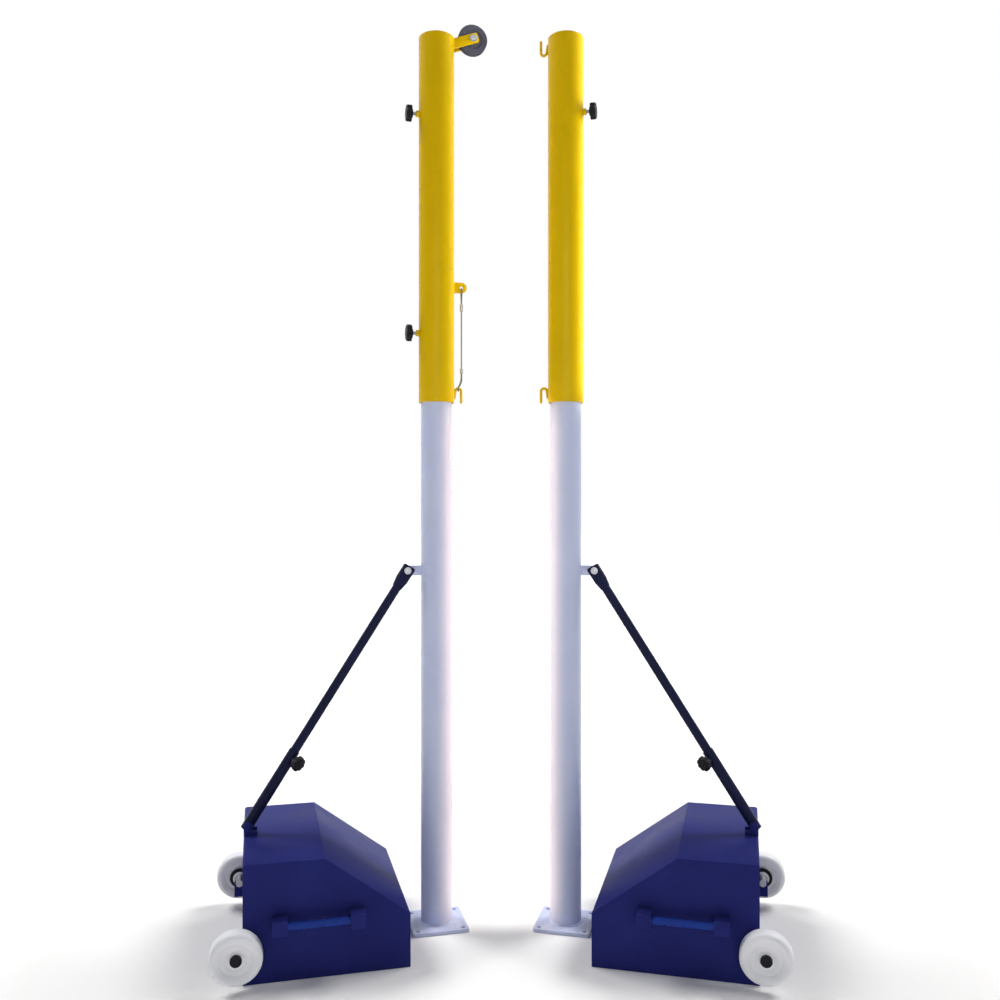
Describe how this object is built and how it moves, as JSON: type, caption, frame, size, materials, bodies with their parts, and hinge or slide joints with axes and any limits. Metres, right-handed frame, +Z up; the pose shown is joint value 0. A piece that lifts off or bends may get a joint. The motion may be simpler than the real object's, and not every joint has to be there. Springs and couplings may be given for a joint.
{
  "type": "volleyball net post",
  "caption": "Pair of free-standing volleyball net posts with height sleeves, leaning masts on telescopic struts and wheeled ballast boxes.",
  "frame": {"origin": "on the floor, at the middle of the pair's width and depth", "axes": "+Z up along the posts, +X from the post with the pulley to the post with the hooks, -Y towards the picture's camera"},
  "size_m": [1.702, 0.6636, 2.5821],
  "materials": {
    "navy_paint": "gloss powder coat, fine orange peel",
    "blue_paint": "gloss powder coat",
    "yellow_paint": "gloss powder coat",
    "white_paint": "gloss powder coat",
    "nylon": "satin, moulded nylon",
    "black_plastic": "fine-grained, satin",
    "slate_plastic": "satin, moulded",
    "zinc": "zinc-plated",
    "cast_iron": "rough, as cast"
  },
  "bodies": {
    "base": {"ballast_box_left": "navy_paint", "ballast_box_right": "navy_paint", "box_side_plates": "navy_paint", "box_floors": "navy_paint", "ballast_slabs": "cast_iron", "handle_bars": "blue_paint", "handle_brackets": "navy_paint", "axles": "zinc", "axle_saddles": "navy_paint", "axle_collars": "zinc", "axle_washers": "black_plastic", "axle_end_caps": "black_plastic", "strut_foot_ears": "navy_paint", "strut_foot_bolts": "navy_paint", "foot_hinge_ears": "navy_paint", "foot_hinge_pins": "zinc"},
    "mast_left": {"foot_plate_left": "white_paint", "foot_tongue_left": "white_paint", "mast_tube_left": "white_paint", "mast_plug_left": "black_plastic", "strut_lug_left": "white_paint"},
    "strut_lower_left": {"strut_lower_tube_left": "navy_paint"},
    "strut_upper_left": {"strut_upper_tube_left": "navy_paint", "strut_head_left": "navy_paint", "strut_head_bolt_left": "zinc"},
    "strut_knob_left": {"strut_knob_left": "black_plastic"},
    "mast_right": {"foot_plate_right": "white_paint", "foot_tongue_right": "white_paint", "mast_tube_right": "white_paint", "mast_plug_right": "black_plastic", "strut_lug_right": "white_paint"},
    "strut_lower_right": {"strut_lower_tube_right": "navy_paint"},
    "strut_upper_right": {"strut_upper_tube_right": "navy_paint", "strut_head_right": "navy_paint", "strut_head_bolt_right": "zinc"},
    "strut_knob_right": {"strut_knob_right": "black_plastic"},
    "sleeve_left": {"sleeve_left": "yellow_paint", "sleeve_cap_left": "yellow_paint", "sleeve_guide_left": "black_plastic", "knob_bosses_left": "yellow_paint", "pulley_arms": "yellow_paint", "pulley_bolt": "zinc", "tension_lug": "yellow_paint", "tension_cord": "zinc", "tension_ferrules": "zinc", "net_hook_left": "yellow_paint"},
    "sleeve_right": {"sleeve_right": "yellow_paint", "sleeve_cap_right": "yellow_paint", "sleeve_guide_right": "black_plastic", "knob_boss_right": "yellow_paint", "net_hook_right_upper": "yellow_paint", "net_hook_right_lower": "yellow_paint"},
    "clamp_knob_left_upper": {"clamp_knob_left_upper": "black_plastic"},
    "clamp_knob_left_lower": {"clamp_knob_left_lower": "black_plastic"},
    "clamp_knob_right": {"clamp_knob_right": "black_plastic"},
    "pulley": {"pulley_wheel": "slate_plastic"},
    "wheel_left_near": {"wheel_left_near": "nylon"},
    "wheel_left_far": {"wheel_left_far": "nylon"},
    "wheel_right_near": {"wheel_right_near": "nylon"},
    "wheel_right_far": {"wheel_right_far": "nylon"}
  },
  "joints": [
    {"name": "mast_left_lean", "type": "hinge", "parent": "base", "child": "mast_left", "pos_m": [-0.27912, 0.08201, 0.014], "axis": [-0.2419, 0.9703, 0], "range_deg": [-5, 0]},
    {"name": "strut_left_pivot", "type": "hinge", "parent": "base", "child": "strut_lower_left", "pos_m": [-0.69149, -0.02081, 0.324], "axis": [-0.2419, 0.9703, 0], "range_deg": [-5.34, 0]},
    {"name": "strut_left_slide", "type": "slide", "parent": "strut_lower_left", "child": "strut_upper_left", "axis": [0.5211, 0.1299, 0.8435], "range_m": [-0.04566, 0]},
    {"name": "strut_left_clamp", "type": "hinge", "parent": "strut_lower_left", "child": "strut_knob_left", "pos_m": [-0.58206, 0.00647, 0.50114], "axis": [0.7114, -0.6121, -0.3452], "range_deg": [0, 360]},
    {"name": "sleeve_left_height", "type": "slide", "parent": "mast_left", "child": "sleeve_left", "axis": [0, 0, 1], "range_m": [-0.19, 0]},
    {"name": "mast_right_lean", "type": "hinge", "parent": "base", "child": "mast_right", "pos_m": [0.27912, 0.08201, 0.014], "axis": [-0.2419, -0.9703, 0], "range_deg": [-5, 0]},
    {"name": "strut_right_pivot", "type": "hinge", "parent": "base", "child": "strut_lower_right", "pos_m": [0.69149, -0.02081, 0.324], "axis": [-0.2419, -0.9703, 0], "range_deg": [-5.34, 0]},
    {"name": "strut_right_slide", "type": "slide", "parent": "strut_lower_right", "child": "strut_upper_right", "axis": [-0.5211, 0.1299, 0.8435], "range_m": [-0.04566, 0]},
    {"name": "strut_right_clamp", "type": "hinge", "parent": "strut_lower_right", "child": "strut_knob_right", "pos_m": [0.58206, 0.00647, 0.50114], "axis": [-0.7114, -0.6121, -0.3452], "range_deg": [0, 360]},
    {"name": "sleeve_right_height", "type": "slide", "parent": "mast_right", "child": "sleeve_right", "axis": [0, 0, 1], "range_m": [-0.19, 0]},
    {"name": "sleeve_clamp_left_upper", "type": "hinge", "parent": "sleeve_left", "child": "clamp_knob_left_upper", "pos_m": [-0.2537, 0.08834, 2.313], "axis": [-0.9703, -0.2419, 0], "range_deg": [0, 360]},
    {"name": "sleeve_clamp_left_lower", "type": "hinge", "parent": "sleeve_left", "child": "clamp_knob_left_lower", "pos_m": [-0.2537, 0.08834, 1.688], "axis": [-0.9703, -0.2419, 0], "range_deg": [0, 360]},
    {"name": "sleeve_clamp_right", "type": "hinge", "parent": "sleeve_right", "child": "clamp_knob_right", "pos_m": [0.2537, 0.08834, 2.319], "axis": [0.9703, -0.2419, 0], "range_deg": [0, 360]},
    {"name": "pulley_spin", "type": "hinge", "parent": "sleeve_left", "child": "pulley", "pos_m": [-0.08331, 0.13082, 2.53965], "axis": [-0.2419, 0.9703, 0], "continuous": true},
    {"name": "wheel_left_near_spin", "type": "hinge", "parent": "base", "child": "wheel_left_near", "pos_m": [-0.65056, -0.2966, 0.088], "axis": [-0.2419, 0.9703, 0], "continuous": true},
    {"name": "wheel_left_far_spin", "type": "hinge", "parent": "base", "child": "wheel_left_far", "pos_m": [-0.78483, 0.24191, 0.088], "axis": [-0.2419, 0.9703, 0], "continuous": true},
    {"name": "wheel_right_near_spin", "type": "hinge", "parent": "base", "child": "wheel_right_near", "pos_m": [0.65056, -0.2966, 0.088], "axis": [-0.2419, -0.9703, 0], "continuous": true},
    {"name": "wheel_right_far_spin", "type": "hinge", "parent": "base", "child": "wheel_right_far", "pos_m": [0.78483, 0.24191, 0.088], "axis": [-0.2419, -0.9703, 0], "continuous": true}
  ],
  "couplings": [
    {"joint": "strut_left_pivot", "follows": "mast_left_lean", "ratio": 1.0671},
    {"joint": "strut_left_slide", "follows": "mast_left_lean", "m_per_rad": 0.52319},
    {"joint": "strut_right_pivot", "follows": "mast_right_lean", "ratio": 1.0671},
    {"joint": "strut_right_slide", "follows": "mast_right_lean", "m_per_rad": 0.52319}
  ]
}
